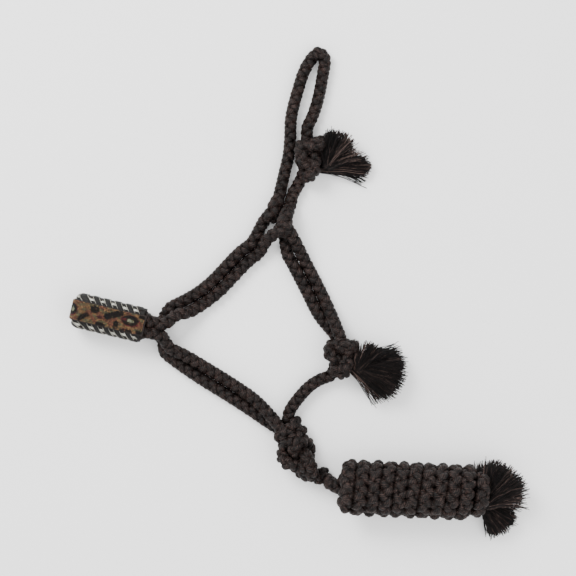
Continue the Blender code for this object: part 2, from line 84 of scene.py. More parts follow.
def centre_of(node):
    low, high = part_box(node)
    return np.array((low + high) / 2)


def along(turn):
    angle = math.radians(turn)
    return np.array((math.cos(angle), math.sin(angle), 0.0))


def left_of(direction):
    return np.array((-direction[1], direction[0], 0.0))


def shift(x, y, z=0.0):
    return np.array((x, y, z))


NOSE_AHEAD = along(NOSE_TURN)
NOSE_UP = -left_of(NOSE_AHEAD)
SPLIT = NOSE_REAR + shift(0.0175, -0.0050)
JUNCTION = SPLIT + along(CHEEK_TURN) * CHEEK_LENGTH
FAR_SPLICE = JUNCTION + shift(-0.0145, 0.0345)
NEAR_SPLICE = JUNCTION + shift(0.0005, 0.0120)
THROAT_KNOT = JUNCTION + along(THROAT_TURN) * THROAT_LENGTH + shift(-0.0090, 0.0090)
CHIN_KNOT = SPLIT + along(CHIN_TURN) * CHIN_LENGTH + shift(-0.0040, -0.0050)
CHIN_KNOT_TURN = -60.0
CHIN_COLLAR = CHIN_KNOT - along(CHIN_KNOT_TURN) * 0.0460
FAR_SPLICE_TURN = 70.0
NEAR_SPLICE_TURN = 78.0
CROWN_TURN = 78.0
CROWN_HINGE = FAR_SPLICE + along(FAR_SPLICE_TURN) * (SPLICE_LENGTH / 2 + CLEARANCE)
TIE_KNOT = CROWN_HINGE + shift(0.0474, 0.0599)


# ---- colours, materials and node trees ----
def colour(code):
    """An sRGB hex colour as linear red, green, blue, alpha."""
    parts = [int(code[i:i + 2], 16) / 255 for i in (1, 3, 5)]
    return [p / 12.92 if p <= 0.04045 else ((p + 0.055) / 1.055) ** 2.4 for p in parts] + [1.0]


def add(tree, kind, links=None, **settings):
    """A node of this kind with its settings; links maps an input to a value or to a socket."""
    made = tree.nodes.new(kind)
    for name, value in settings.items():
        setattr(made, name, value)
    for name, value in (links or {}).items():
        if isinstance(value, bpy.types.NodeSocket):
            tree.links.new(value, made.inputs[name])
        else:
            made.inputs[name].default_value = value
    return made


def maths(tree, operation, a, b=0.0):
    return add(tree, "ShaderNodeMath", {0: a, 1: b}, operation=operation).outputs[0]


def new_material(name):
    made = bpy.data.materials.new(name)
    made.use_nodes = True
    shader = made.node_tree.nodes["Principled BSDF"]
    return made, made.node_tree, shader


def ripple(tree, place_on, pitch):
    """A wave from 0 to 1 that repeats every pitch of a length."""
    turns = maths(tree, "MULTIPLY", place_on, 2 * math.pi / pitch)
    wave = maths(tree, "SINE", turns)
    return add(tree, "ShaderNodeMapRange", {"Value": wave, "From Min": -1.0, "From Max": 1.0}).outputs[0]


def braided_nylon(name, dark, middle, light):
    """Strands of fine twisted nylon yarn: streaks along each strand, with painted shade darkening the hollows
    between the yarns, painted highlights on the raised yarns, and random patches of tone.
    """
    made, tree, shader = new_material(name)
    lace = add(tree, "ShaderNodeUVMap", uv_map="lace")
    split = add(tree, "ShaderNodeSeparateXYZ", {0: lace.outputs[0]})
    along_lace, across = split.outputs[0], split.outputs[1]
    drawn = add(tree, "ShaderNodeCombineXYZ", {
        0: maths(tree, "MULTIPLY", along_lace, 1 / (5.0 * MM)),
        1: maths(tree, "MULTIPLY", maths(tree, "ADD", across, maths(
            tree, "MULTIPLY", along_lace, 0.35)), 1 / (0.9 * MM))})
    streaks = add(tree, "ShaderNodeTexNoise", {"Vector": drawn.outputs[0], "Scale": 1.0, "Detail": 2.0})
    picks = ripple(tree, maths(tree, "ADD", along_lace, maths(tree, "MULTIPLY", across, 0.8)), 2.6 * MM)
    place = add(tree, "ShaderNodeTexCoord").outputs["Object"]
    patches = add(tree, "ShaderNodeTexNoise", {"Vector": place, "Scale": 1 / (11 * MM), "Detail": 3.0})
    weave = maths(tree, "ADD", maths(tree, "MULTIPLY", streaks.outputs[0], 0.75),
                  maths(tree, "MULTIPLY", picks, 0.16))
    tone = maths(tree, "ADD", weave, maths(tree, "MULTIPLY", maths(
        tree, "SUBTRACT", patches.outputs[0], 0.5), 0.3))
    # painted light: the ramp follows the weave that is also the bump's height, so the low places between the
    # yarns are painted darker (painted shade) and the raised yarns lighter (painted highlight); the patches
    # add random tone
    ramp = add(tree, "ShaderNodeValToRGB", {0: tone})
    ramp.color_ramp.elements[0].position = 0.34
    ramp.color_ramp.elements[0].color = colour(dark)
    ramp.color_ramp.elements[1].position = 0.66
    ramp.color_ramp.elements[1].color = colour(light)
    ramp.color_ramp.elements.new(0.46).color = colour(middle)
    bump = add(tree, "ShaderNodeBump", {"Height": weave, "Strength": 0.9, "Distance": 0.9 * MM})
    rough = add(tree, "ShaderNodeMapRange", {"Value": weave, "To Min": 0.42, "To Max": 0.7})
    tree.links.new(ramp.outputs[0], shader.inputs["Base Color"])
    tree.links.new(bump.outputs[0], shader.inputs["Normal"])
    tree.links.new(rough.outputs[0], shader.inputs["Roughness"])
    shader.inputs["Specular IOR Level"].default_value = 0.14
    return made


def frayed_nylon(name, dark, middle, light):
    """Single crimped yarns: each its own shade, some much lighter."""
    made, tree, shader = new_material(name)
    place = add(tree, "ShaderNodeTexCoord").outputs["Object"]
    streaks = add(tree, "ShaderNodeTexNoise", {"Vector": place, "Scale": 1 / (3 * MM), "Detail": 3.0})
    own = add(tree, "ShaderNodeAttribute", attribute_name="shade").outputs["Fac"]
    ramp = add(tree, "ShaderNodeValToRGB", {0: maths(tree, "ADD", own, maths(
        tree, "MULTIPLY", maths(tree, "SUBTRACT", streaks.outputs[0], 0.5), 0.5))})
    ramp.color_ramp.elements[0].position = 0.1
    ramp.color_ramp.elements[0].color = colour(dark)
    ramp.color_ramp.elements[1].position = 1.0
    ramp.color_ramp.elements[1].color = colour(light)
    ramp.color_ramp.elements.new(0.55).color = colour(middle)
    fine = add(tree, "ShaderNodeTexNoise", {"Vector": place, "Scale": 1 / (0.6 * MM)})
    bump = add(tree, "ShaderNodeBump", {"Height": fine.outputs[0], "Strength": 0.4, "Distance": 0.2 * MM})
    rough = add(tree, "ShaderNodeMapRange", {"Value": fine.outputs[0], "To Min": 0.45, "To Max": 0.65})
    tree.links.new(ramp.outputs[0], shader.inputs["Base Color"])
    tree.links.new(bump.outputs[0], shader.inputs["Normal"])
    tree.links.new(rough.outputs[0], shader.inputs["Roughness"])
    shader.inputs["Specular IOR Level"].default_value = 0.14
    return made


def flat_lace(name, base, highlight_and_scuff, rough_low, rough_high, metallic, grain):
    """Flat coated lace: fine creases across it and lighter, rougher scuffs of wear. Its colour is painted
    darker in the creases' hollows (painted shade) and lighter on their ridges (painted highlight).
    """
    made, tree, shader = new_material(name)
    place = add(tree, "ShaderNodeTexCoord").outputs["Object"]
    creases = add(tree, "ShaderNodeTexNoise", {"Vector": place, "Scale": 1 / grain, "Detail": 5.0})
    scuffs = add(tree, "ShaderNodeTexNoise", {"Vector": place, "Scale": 1 / (7 * MM), "Detail": 3.0})
    # painted light: the colour ramp follows the creases that also give the bump, so their hollows are painted
    # darker (painted shade) and their ridges lighter (painted highlight); the scuffs lighten it as wear
    mixed = add(tree, "ShaderNodeValToRGB", {0: maths(tree, "MULTIPLY", maths(
        tree, "ADD", creases.outputs[0], scuffs.outputs[0]), 0.5)})
    mixed.color_ramp.elements[0].position = 0.38
    mixed.color_ramp.elements[0].color = colour(base)
    mixed.color_ramp.elements[1].position = 0.66
    mixed.color_ramp.elements[1].color = colour(highlight_and_scuff)
    bump = add(tree, "ShaderNodeBump", {"Height": creases.outputs[0], "Strength": 0.5, "Distance": 0.3 * MM})
    rough = add(tree, "ShaderNodeMapRange",
                {"Value": scuffs.outputs[0], "To Min": rough_low, "To Max": rough_high})
    tree.links.new(mixed.outputs[0], shader.inputs["Base Color"])
    tree.links.new(bump.outputs[0], shader.inputs["Normal"])
    tree.links.new(rough.outputs[0], shader.inputs["Roughness"])
    shader.inputs["Metallic"].default_value = metallic
    shader.inputs["Specular IOR Level"].default_value = 0.2
    return made


def glass_beads(name):
    """Opaque glass seed beads: each its own colour, glossy, with small differences in shade."""
    made, tree, shader = new_material(name)
    dye = add(tree, "ShaderNodeAttribute", attribute_name="bead_colour")
    place = add(tree, "ShaderNodeTexCoord").outputs["Object"]
    shade = add(tree, "ShaderNodeTexNoise", {"Vector": place, "Scale": 1 / (1.4 * MM), "Detail": 1.0})
    varied = add(tree, "ShaderNodeMapRange", {"Value": shade.outputs[0], "To Min": 0.45, "To Max": 1.15})
    mixed = add(tree, "ShaderNodeVectorMath", {0: dye.outputs["Color"], "Scale": varied.outputs[0]},
                operation="SCALE")
    rough = add(tree, "ShaderNodeMapRange", {"Value": shade.outputs[0], "To Min": 0.3, "To Max": 0.5})
    shader.inputs["Specular IOR Level"].default_value = 0.15
    tree.links.new(mixed.outputs[0], shader.inputs["Base Color"])
    tree.links.new(rough.outputs[0], shader.inputs["Roughness"])
    return made


# the darkest colour of each rope stands partly for painted shade between the yarns, and the lightest partly
# for painted highlights on them
ROPE = braided_nylon("braided_nylon_dark_brown", "#020101", "#0a0605", "#3a2b27")
LEAD_ROPE = braided_nylon("braided_nylon_lead_brown", "#020101", "#0c0706", "#3e2f2b")
YARN = frayed_nylon("frayed_nylon_yarn", "#030202", "#120c0b", "#65544e")
# each lace's lighter second colour is partly painted highlight on raised creases and partly scuffed wear; its
# darker first colour is partly painted shade in the creases
LEATHER = flat_lace("black_bridle_leather", "#141010", "#2a2220", 0.42, 0.7, 0.0, 0.9 * MM)
DARK_LACE = flat_lace("charcoal_coated_lace", "#050404", "#1c1a18", 0.5, 0.75, 0.0, 1.2 * MM)
SILVER_LACE = flat_lace("silver_metallised_lace", "#55544d", "#c6c4b9", 0.3, 0.5, 0.3, 1.0 * MM)
THREAD = flat_lace("waxed_beading_thread", "#1b1512", "#43362a", 0.5, 0.8, 0.0, 0.8 * MM)
BEADS = glass_beads("glass_seed_beads")


# ---- curves through points ----
def curve_through(points, spacing=0.0015):
    """Evenly spaced points on a Catmull-Rom curve through these points."""
    route = np.array(points, float)
    route = np.vstack((2 * route[0] - route[1], route, 2 * route[-1] - route[-2]))
    t = np.linspace(0, 1, 24, endpoint=False)[:, None]
    found = []
    for a, b, c, d in zip(route, route[1:], route[2:], route[3:]):
        found.append(0.5 * (2 * b + (c - a) * t + (2 * a - 5 * b + 4 * c - d) * t ** 2
                            + (3 * b - a - 3 * c + d) * t ** 3))
    found.append(route[-2][None])
    return evenly(np.vstack(found), spacing)


def evenly(line, spacing):
    """The same line, with its points this far apart."""
    sides = np.linalg.norm(np.diff(line, axis=0), axis=1)
    keep = np.concatenate(([True], sides > 1e-7))
    line, sides = line[keep], sides[keep[1:]]
    reached = np.concatenate(([0.0], np.cumsum(sides)))
    count = max(4, int(round(reached[-1] / spacing)))
    wanted = np.linspace(0, reached[-1], count + 1)
    return np.column_stack([np.interp(wanted, reached, line[:, k]) for k in range(3)])


def smoothed(line, times=6):
    """The line with its kinks rounded off; its ends stay."""
    line = line.copy()
    for _ in range(times):
        line[1:-1] = 0.25 * line[:-2] + 0.5 * line[1:-1] + 0.25 * line[2:]
    return line


def unit(rows):
    return rows / np.maximum(np.linalg.norm(rows, axis=-1, keepdims=True), 1e-12)


def tangents(line):
    return unit(np.gradient(line, axis=0))


def carried_frame(line):
    """Two directions square to the line, carried along it without twisting."""
    ahead = tangents(line)
    first = np.cross(ahead[0], UP)
    if np.linalg.norm(first) < 0.1:
        first = np.cross(ahead[0], (1.0, 0.0, 0.0))
    normals = [first / np.linalg.norm(first)]
    for t in ahead[1:]:
        n = normals[-1] - t * np.dot(normals[-1], t)
        normals.append(n / np.linalg.norm(n))
    normals = np.array(normals)
    return normals, np.cross(ahead, normals)


def lengths(line):
    return np.concatenate(([0.0], np.cumsum(np.linalg.norm(np.diff(line, axis=0), axis=1))))


# ---- meshes ----
def new_piece(name, verts, faces, material, uvs=None, smooth=True):
    mesh = bpy.data.meshes.new(name)
    mesh.from_pydata([tuple(v) for v in verts], [], [tuple(f) for f in faces])
    if uvs is not None:
        layer = mesh.uv_layers.new(name="lace")
        corner = np.zeros(len(mesh.loops), np.int32)
        mesh.loops.foreach_get("vertex_index", corner)
        layer.data.foreach_set("uv", np.asarray(uvs, np.float32)[corner].ravel())
    mesh.polygons.foreach_set("use_smooth", np.full(len(mesh.polygons), smooth))
    mesh.materials.append(material)
    mesh.update()
    made = bpy.data.objects.new(name, mesh)
    bpy.context.scene.collection.objects.link(made)
    return made


def swept(sections, start=0):
    """Faces of a closed tube through these rings of points, with both ends shut."""
    count, sides = sections.shape[:2]
    ring = np.arange(sides)
    onward = np.roll(ring, -1)
    steps = np.arange(count - 1)[:, None] * sides
    faces = np.stack((steps + ring, steps + onward, steps + sides + onward, steps + sides + ring), -1)
    faces = [tuple(f) for f in (faces.reshape(-1, 4) + start)]
    faces.append(tuple(start + i for i in reversed(range(sides))))
    faces.append(tuple(start + (count - 1) * sides + i for i in range(sides)))
    return faces


# the braid: a lay of 1.64 widths, two strands each way, which pass over and under in turn
LAY = 1.64
STRAND_SIDES = 12


def braided(name, line, radius, material, swell=None):
    """A four-strand round braid along a line. swell scales its radius along the way."""
    ahead_of = lengths(line)
    normals, binormals = carried_frame(line)
    size = np.full(len(line), radius) if swell is None else radius * swell(ahead_of / ahead_of[-1])
    turns = ahead_of * 2 * math.pi / (LAY * 2 * radius)
    verts, faces, uvs = [], [], []
    round_it = np.linspace(0, 2 * math.pi, STRAND_SIDES, endpoint=False)
    for way, first in ((1, 0.0), (1, math.pi), (-1, math.pi / 2), (-1, 1.5 * math.pi)):
        angle = way * turns + first
        weave = way * np.sin(2 * angle)
        out = size * (0.53 + 0.30 * weave)
        spoke = normals * np.cos(angle)[:, None] + binormals * np.sin(angle)[:, None]
        middle = line + spoke * out[:, None]
        forward = tangents(middle)
        rise = unit(spoke - forward * np.sum(spoke * forward, axis=1, keepdims=True))
        side = np.cross(forward, rise)
        wide, thick = (size * 0.55)[:, None, None], (size * 0.41)[:, None, None]
        rings = (middle[:, None] + side[:, None] * wide * np.cos(round_it)[None, :, None]
                 + rise[:, None] * thick * np.sin(round_it)[None, :, None])
        faces += swept(rings, len(verts) * STRAND_SIDES)
        verts += list(rings)
        u = np.repeat(lengths(middle)[:, None], STRAND_SIDES, axis=1)
        v = np.repeat((np.cos(round_it) * radius * 0.55)[None], len(line), axis=0) + first * 0.1
        uvs.append(np.stack((u, v), -1).reshape(-1, 2))
    verts = np.array(verts).reshape(-1, 3)
    return new_piece(name, verts, faces, material, np.vstack(uvs))


# ---- Geometry Nodes trees ----
def new_tree(name, **inputs):
    """An empty geometry tree with these inputs, its sockets and its output node."""
    tree = bpy.data.node_groups.new(name, "GeometryNodeTree")
    tree.interface.new_socket("Geometry", in_out="INPUT", socket_type="NodeSocketGeometry")
    sockets = {
        label: tree.interface.new_socket(label.replace("_", " ").capitalize(), in_out="INPUT",
                                         socket_type=kind).identifier
        for label, kind in inputs.items()
    }
    tree.interface.new_socket("Geometry", in_out="OUTPUT", socket_type="NodeSocketGeometry")
    return tree, sockets, tree.nodes.new("NodeGroupInput"), tree.nodes.new("NodeGroupOutput")


def yarn_tree():
    """Each edge path becomes a round yarn of the given thickness."""
    tree, sockets, start, end = new_tree(
        "yarns", thickness="NodeSocketFloat", yarn="NodeSocketMaterial")
    paths = add(tree, "GeometryNodeMeshToCurve", {"Mesh": start.outputs[0]})
    half = maths(tree, "MULTIPLY", start.outputs["Thickness"], 0.5)
    ring = add(tree, "GeometryNodeCurvePrimitiveCircle", {"Resolution": 4, "Radius": half})
    tubes = add(tree, "GeometryNodeCurveToMesh",
                {"Curve": paths.outputs[0], "Profile Curve": ring.outputs[0], "Fill Caps": True})
    real = add(tree, "GeometryNodeRealizeInstances", {0: tubes.outputs[0]})
    done = add(tree, "GeometryNodeSetMaterial",
               {"Geometry": real.outputs[0], "Material": start.outputs["Yarn"]})
    tree.links.new(done.outputs[0], end.inputs[0])
    return tree, sockets


def bead_tree():
    """One bead on each point, turned by the point's own turn."""
    tree, sockets, start, end = new_tree(
        "seed_beads", bead="NodeSocketObject", size="NodeSocketFloat", glass="NodeSocketMaterial")
    shape = add(tree, "GeometryNodeObjectInfo", {"Object": start.outputs["Bead"]})
    turn = add(tree, "GeometryNodeInputNamedAttribute", {"Name": "turn"}, data_type="FLOAT_VECTOR")
    scale = add(tree, "ShaderNodeCombineXYZ",
                {0: start.outputs["Size"], 1: start.outputs["Size"], 2: start.outputs["Size"]})
    placed = add(tree, "GeometryNodeInstanceOnPoints", {
        "Points": start.outputs[0], "Instance": shape.outputs["Geometry"],
        "Rotation": turn.outputs[0], "Scale": scale.outputs[0]})
    real = add(tree, "GeometryNodeRealizeInstances", {0: placed.outputs[0]})
    done = add(tree, "GeometryNodeSetMaterial",
               {"Geometry": real.outputs[0], "Material": start.outputs["Glass"]})
    tree.links.new(done.outputs[0], end.inputs[0])
    return tree, sockets


def made_real(name, source, tree, sockets, material, **values):
    """The tree's result on source as a plain mesh piece; source is removed."""
    step = source.modifiers.new("grow", "NODES")
    step.node_group = tree
    for label, value in values.items():
        step[sockets[label]] = value
    bpy.context.view_layer.update()
    seen = source.evaluated_get(bpy.context.evaluated_depsgraph_get())
    mesh = bpy.data.meshes.new_from_object(seen)
    mesh.name = name
    bpy.data.objects.remove(source, do_unlink=True)
    mesh.materials.clear()
    mesh.materials.append(material)
    mesh.polygons.foreach_set("material_index", np.zeros(len(mesh.polygons), np.int32))
    mesh.polygons.foreach_set("use_smooth", np.ones(len(mesh.polygons), bool))
    made = bpy.data.objects.new(name, mesh)
    bpy.context.scene.collection.objects.link(made)
    return made


def finish_piece(piece, body, slot, *nodes):
    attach(piece, body)
    if nodes:
        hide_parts(*nodes)
    return piece


# ---- camera, light and floor ----
VIEW_CENTRE = (0.0758, -0.0360)
VIEW_WIDTH = 0.864
CAMERA_HEIGHT = 3.2


def studio():
    eye = bpy.data.objects.new("camera", bpy.data.cameras.new("camera"))
    eye.location = (*VIEW_CENTRE, CAMERA_HEIGHT)
    eye.data.sensor_width = 36.0
    eye.data.lens = 36.0 * CAMERA_HEIGHT / VIEW_WIDTH
    eye.data.clip_end = 20.0
    bpy.context.scene.collection.objects.link(eye)
    bpy.context.scene.camera = eye

    paper, tree, shader = new_material("white_paper")
    place = add(tree, "ShaderNodeTexCoord").outputs["Object"]
    grain = add(tree, "ShaderNodeTexNoise", {"Vector": place, "Scale": 300.0})
    tone = add(tree, "ShaderNodeMapRange", {"Value": grain.outputs[0], "To Min": 0.93, "To Max": 0.96})
    tree.links.new(tone.outputs[0], shader.inputs["Base Color"])
    shader.inputs["Roughness"].default_value = 0.9
    size = 6.0
    floor = new_piece("floor", [(-size, -size, 0), (size, -size, 0), (size, size, 0), (-size, size, 0)],
                      [(0, 1, 2, 3)], paper)
    floor.location.z = -0.0004

    world = bpy.data.worlds.new("studio")
    bpy.context.scene.world = world
    world.use_nodes = True
    world.node_tree.nodes["Background"].inputs[0].default_value = (1.0, 1.0, 1.0, 1.0)
    world.node_tree.nodes["Background"].inputs[1].default_value = 1.75
    for name, place_at, power, width in (("key", (-1.3, 1.5, 2.2), 105.0, 1.3),
                                         ("fill", (1.6, -0.9, 2.0), 24.0, 1.8)):
        lamp = bpy.data.objects.new(name, bpy.data.lights.new(name, "AREA"))
        lamp.data.energy = power
        lamp.data.size = width
        lamp.location = place_at
        lamp.rotation_euler = (Vector((0.05, -0.03, 0.0)) - lamp.location).to_track_quat(
            "-Z", "Y").to_euler()
        bpy.context.scene.collection.objects.link(lamp)


# ---- the lead rope, one cord from the hitch to its frayed end ----
HANK_TURN = -2.5
HANK_START = np.array((0.150, -0.3305, 0.040))
HANK_LENGTH = 0.204
WRAP_RADIUS = 0.0305
CORE_OFFSET = 0.0128
WRAPS = 9.5
WRAP_FULLNESS = 1.13           # the lead rope looks this much fuller where its wraps press together


def lead_route():
    """Out of the hitch, four runs through the hank's core, then the wraps and the end turn."""
    ahead = along(HANK_TURN)
    across = left_of(ahead)

    def at(distance, turn, radius):
        angle = math.radians(turn)
        return (HANK_START + ahead * distance + across * math.cos(angle) * radius
                + UP * math.sin(angle) * radius * 0.92)

    hitch = centre_of("lead_hitch")
    near_end, far_end = 0.018, HANK_LENGTH - 0.024
    points = [hitch + shift(-0.0060, 0.0035, 0.0015), hitch, hitch + shift(0.0150, -0.0090, 0.0005)]
    points += [HANK_START + shift(-0.0140, 0.0050, -0.0210) - ahead * 0.0006,
               HANK_START - ahead * 0.0040 + UP * -0.0100]
    corners = (225, 315, 45, 135)
    for i, turn in enumerate(corners):
        stretch = np.linspace(near_end, far_end, 5)
        if i % 2:
            stretch = stretch[::-1]
        points += [at(d, turn, CORE_OFFSET) for d in stretch]
        if i < 3:
            bulge = 0.0100 if i % 2 == 0 else -0.0100
            middle_turn = (turn + corners[i + 1]) / 2 if abs(corners[i + 1] - turn) < 180 else 0
            points.append(at(stretch[-1] + bulge, middle_turn, CORE_OFFSET * 0.75))
    first, last = LEAD_RADIUS + 0.0005, HANK_LENGTH - LEAD_RADIUS - 0.0005
    steps = int(WRAPS * 20)
    for i in range(steps + 1):
        share = i / steps
        sway = 0.0009 * math.sin(2.1 * share * WRAPS * 2 * math.pi) * (0.2 < share * WRAPS < WRAPS - 0.5)
        points.append(at(first + (last - first) * share + sway, 150 - 360 * WRAPS * share, WRAP_RADIUS))
    end_turn = 150 - 360 * WRAPS
    for i in range(1, 19):
        share = i / 18
        points.append(at(last + 0.0180 * min(1.0, share * 1.6), end_turn - 370 * share,
                         WRAP_RADIUS - 0.0060 * min(1.0, 2 * share) - 0.0060 * share ** 3))
    return smoothed(curve_through(points, 0.0016), 4)


def lead():
    line = lead_route()
    length = lengths(line)[-1]
    print(f"lead rope length {length:.3f}")
    fatter = WRAP_FULLNESS - 1
    rope = braided("lead_rope", line, LEAD_RADIUS, LEAD_ROPE,
                   swell=lambda t: 1 + fatter * np.clip((t - 0.06) / 0.05, 0, 1))
    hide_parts("lead_neck", "lead_hank", "lead_end")
    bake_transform(rope)
    hitch = centre_of("lead_hitch")
    ring = loop(hitch, 0.0085, 0.0080, unit(shift(0.85, -0.5)), 0.0)
    collar = braided("lead_hitch_loop", ring, 0.0062, LEAD_ROPE)
    finish_piece(collar, "lead_hitch", "lead_rope", "lead_hitch")
    return rope, line, length, collar


# ---- halter ropes ----
def ease(t, start, end):
    u = min(1.0, max(0.0, (t - start) / (end - start)))
    return u * u * (3 - 2 * u)


def loop(centre, wide, high, axis, tilt, turns=1.0):
    """A round turn about a level axis, as wide and as high as given, from its underside."""
    side = left_of(axis)
    angles = np.linspace(0, 2 * math.pi * turns, int(48 * turns) + 1) - math.pi / 2
    return np.array([centre + side * math.cos(a) * wide + UP * math.sin(a) * high
                     + axis * tilt * (a / (2 * math.pi)) for a in angles])


def nose_path(end, radius, count=16):
    """Round the fold, from the far rear end to the near rear end."""
    fold = end + NOSE_AHEAD * (NOSEBAND_LENGTH - STACK_HEIGHT / 2)
    points = [end + UP * (FOLD_LEVEL - radius)]
    points += [fold + NOSE_AHEAD * math.cos(a) * radius + UP * (FOLD_LEVEL + math.sin(a) * radius)
               for a in np.linspace(-math.pi / 2, math.pi / 2, count)]
    points.append(end + UP * (FOLD_LEVEL + radius))
    return points


FOREHEAD_END = NOSE_REAR + NOSE_UP * NOSE_ROPE_SPACING / 2
LIP_END = NOSE_REAR - NOSE_UP * NOSE_ROPE_SPACING / 2
ROPE_FOLD = NEAR_LEVEL - FOLD_LEVEL


def cheek_routes():
    """The near and far cheek routes: one above the other at the noseband, then side by side."""
    start = FOREHEAD_END - NOSE_AHEAD * CLEARANCE
    reach = JUNCTION - start
    size = np.linalg.norm(reach)
    ahead = reach / size
    side = left_of(ahead)
    bow = [(0.12, -0.0090), (0.22, -0.0175), (0.34, -0.0185), (0.46, -0.0150), (0.58, -0.0075),
           (0.70, 0.0), (0.80, 0.0025)]
    middle = [start, start - NOSE_AHEAD * 0.0090]
    middle += [start + ahead * size * t + side * out for t, out in bow]
    middle = curve_through(middle, 0.013)
    near, far = [], []
    for i, point in enumerate(middle):
        t = i / (len(middle) - 1)
        step = middle[min(len(middle) - 1, i + 1)] - middle[max(0, i - 1)]
        out = -left_of(step / np.linalg.norm(step))
        settled = ease(t, 1 / (len(middle) - 1), 0.42)
        roll = math.radians(90 * (1 - settled))
        spacing = 2 * ROPE_FOLD + (PAIR_SPACING - 2 * ROPE_FOLD) * settled + 0.002 * math.sin(2 * roll)
        low = UP * (FAR_LEVEL + (ROPE_RADIUS - FAR_LEVEL) * settled)
        far.append(point - out * math.cos(roll) * spacing / 2 + low)
        near.append(point + out * math.cos(roll) * spacing / 2 + low + UP * math.sin(roll) * spacing)
    far += [FAR_SPLICE + shift(-0.0150, -0.0165, ROPE_RADIUS), FAR_SPLICE + UP * ROPE_RADIUS]
    near += [NEAR_SPLICE + shift(-0.0260, -0.0230, (ROPE_RADIUS + OVER_LEVEL) / 2),
             NEAR_SPLICE + shift(-0.0100, -0.0120, OVER_LEVEL), NEAR_SPLICE + UP * OVER_LEVEL]
    return near, far


def chin_routes():
    """The near chin route comes down beside the far one, and lies on it again at the knot."""
    start = LIP_END - NOSE_AHEAD * CLEARANCE
    reach = CHIN_COLLAR - start
    size = np.linalg.norm(reach)
    ahead = reach / size
    side = left_of(ahead)
    bow = [(0.10, 0.0010, 0.0050), (0.25, 0.0032, 0.0155), (0.42, 0.0045, 0.0184),
           (0.60, 0.0065, 0.0184), (0.76, 0.0070, 0.0170), (0.90, 0.0035, 0.0100), (1.0, 0.0, 0.0)]
    leaving = [start, start - NOSE_AHEAD * 0.0090]
    far = [p + UP * FAR_LEVEL for p in leaving]
    near = [p + UP * NEAR_LEVEL for p in leaving]
    for t, out, apart in bow:
        point = start + ahead * size * t + side * out
        settled = ease(t, 0.0, 0.30)
        low = FAR_LEVEL + (ROPE_RADIUS - FAR_LEVEL) * settled
        spacing = 2 * ROPE_FOLD * (1 - settled) + PAIR_SPACING * settled
        far.append(point - side * apart / 2 + UP * low)
        near.append(point + side * apart / 2 + UP * (low + math.sqrt(max(0.0, spacing ** 2 - apart ** 2))))
    return near, far


def throat_routes():
    """The throat routes side by side, then the near one rolls up onto the far one at the knot."""
    start = JUNCTION + along(THROAT_TURN) * 0.030
    reach = THROAT_KNOT - start
    size = np.linalg.norm(reach)
    ahead = reach / size
    side = left_of(ahead)
    bow = [(0.0, 0.0), (0.2, 0.0020), (0.4, 0.0040), (0.6, 0.0045), (0.8, 0.0035), (1.0, 0.0)]
    middle = curve_through([start + ahead * size * t + side * out for t, out in bow], 0.013)
    floor = UP * ROPE_RADIUS
    far = [FAR_SPLICE + floor, FAR_SPLICE + shift(0.0115, -0.0190, ROPE_RADIUS)]
    near = [NEAR_SPLICE + UP * OVER_LEVEL, NEAR_SPLICE + shift(0.0110, -0.0160, OVER_LEVEL - 0.0020)]
    for i, point in enumerate(middle):
        rolled = math.radians(80 * ease(i / (len(middle) - 1), 0.42, 0.90))
        apart = PAIR_SPACING * math.cos(rolled)
        far.append(point + side * (PAIR_SPACING / 2 - apart) + floor)
        if i > 1:
            near.append(point + side * PAIR_SPACING / 2 + floor + UP * PAIR_SPACING * math.sin(rolled))
    return near, far


def fiador_route():
    start, end = THROAT_KNOT, CHIN_COLLAR
    points = [start, start + shift(-0.0120, -0.0240), start + shift(-0.0305, -0.0320),
              start + shift(-0.0465, -0.0425), start + shift(-0.0610, -0.0580),
              end + shift(0.0105, 0.0300), end + shift(0.0080, 0.0135), end + shift(0.0070, 0.0)]
    return [p + UP * ROPE_RADIUS * 1.4 for p in points]


def crown_routes():
    up = along(CROWN_TURN)
    across = left_of(up)
    floor = UP * ROPE_RADIUS
    places = [(0.0, 0.0), (0.055, -0.0005), (0.18, -0.0011), (0.29, -0.0015), (0.41, 0.0017),
              (0.525, 0.0063), (0.635, 0.0064), (0.73, 0.0049), (0.835, 0.0027), (0.92, -0.0023),
              (1.0, -0.0129), (0.964, -0.0249), (0.863, -0.0266), (0.76, -0.0274), (0.665, -0.0269),
              (0.57, -0.0244), (0.475, -0.0206)]
    crown = [FAR_SPLICE + floor]
    crown += [CROWN_HINGE + up * CROWN_HEIGHT * t + across * out + floor for t, out in places]
    crown += [TIE_KNOT + floor]
    tie_start = CROWN_HINGE - across * (PAIR_SPACING + 0.0010)
    below = tie_start - up * CLEARANCE
    tie = [NEAR_SPLICE + UP * OVER_LEVEL, NEAR_SPLICE + shift(0.0030, 0.0150, OVER_LEVEL - 0.0040),
           below - up * 0.0120 + floor, tie_start + floor, tie_start + up * 0.0100 + floor,
           tie_start + up * 0.0240 - across * 0.0050 + floor, TIE_KNOT + floor]
    return crown, tie


def gathered(line):
    """Just behind the noseband the ropes above and below lean together and touch."""
    behind = -(line - NOSE_REAR) @ NOSE_AHEAD
    up = (line - NOSE_REAR) @ NOSE_UP
    pull = np.interp(behind, (-0.009, 0.003, 0.026, 0.044), (0.0, 1.0, 1.0, 0.0))
    pull = pull * pull * (3 - 2 * pull)
    wanted = np.clip(up, -0.0080, 0.0080)
    return line + NOSE_UP * ((wanted - up) * pull * (np.abs(up) < 0.030))[:, None]


def halter_rope(name, points, body, *nodes, far_side=None):
    line = smoothed(curve_through(points, 0.0016), 8)
    if far_side is None and ("forehead" in name or "lip" in name):
        line = smoothed(gathered(line), 12)
    rope = braided(name, line, ROPE_RADIUS, ROPE)
    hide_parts(*nodes)
    if far_side is None:
        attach(rope, body)
    else:
        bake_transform(rope)
    return rope


